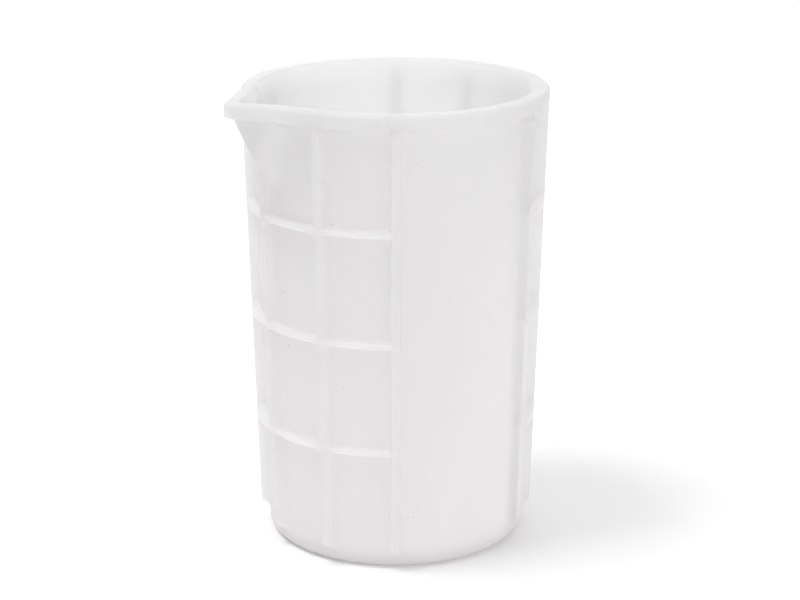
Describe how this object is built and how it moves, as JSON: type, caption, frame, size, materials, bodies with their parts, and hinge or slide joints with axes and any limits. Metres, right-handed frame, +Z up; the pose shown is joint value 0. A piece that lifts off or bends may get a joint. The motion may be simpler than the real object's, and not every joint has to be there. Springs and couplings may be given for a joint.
{
  "type": "resin mixing cup",
  "caption": "Soft milky silicone mixing cup with a pouring lip, a thick rim band, a slightly tapered round wall and raised upright and level ribs on two sides.",
  "frame": {"origin": "centre of the foot, on the table that the cup stands on", "axes": "+Z up along the axis of the cup, +X towards the pouring spout"},
  "size_m": [0.0805, 0.0726, 0.11],
  "materials": {
    "silicone": "milky near-white translucent silicone, satin, slightly cloudy"
  },
  "bodies": {
    "root": {"base": "silicone", "body_wall": "silicone", "rim_band": "silicone", "pouring_spout": "silicone", "front_rib_1": "silicone", "front_rib_2": "silicone", "front_rib_3": "silicone", "front_rib_4": "silicone", "front_rib_5": "silicone", "rear_rib_1": "silicone", "rear_rib_2": "silicone", "rear_rib_3": "silicone", "rear_rib_4": "silicone", "rear_rib_5": "silicone", "front_level_rib_low": "silicone", "front_level_rib_mid": "silicone", "front_level_rib_high": "silicone", "rear_level_rib_low": "silicone", "rear_level_rib_mid": "silicone", "rear_level_rib_high": "silicone"}
  },
  "joints": []
}
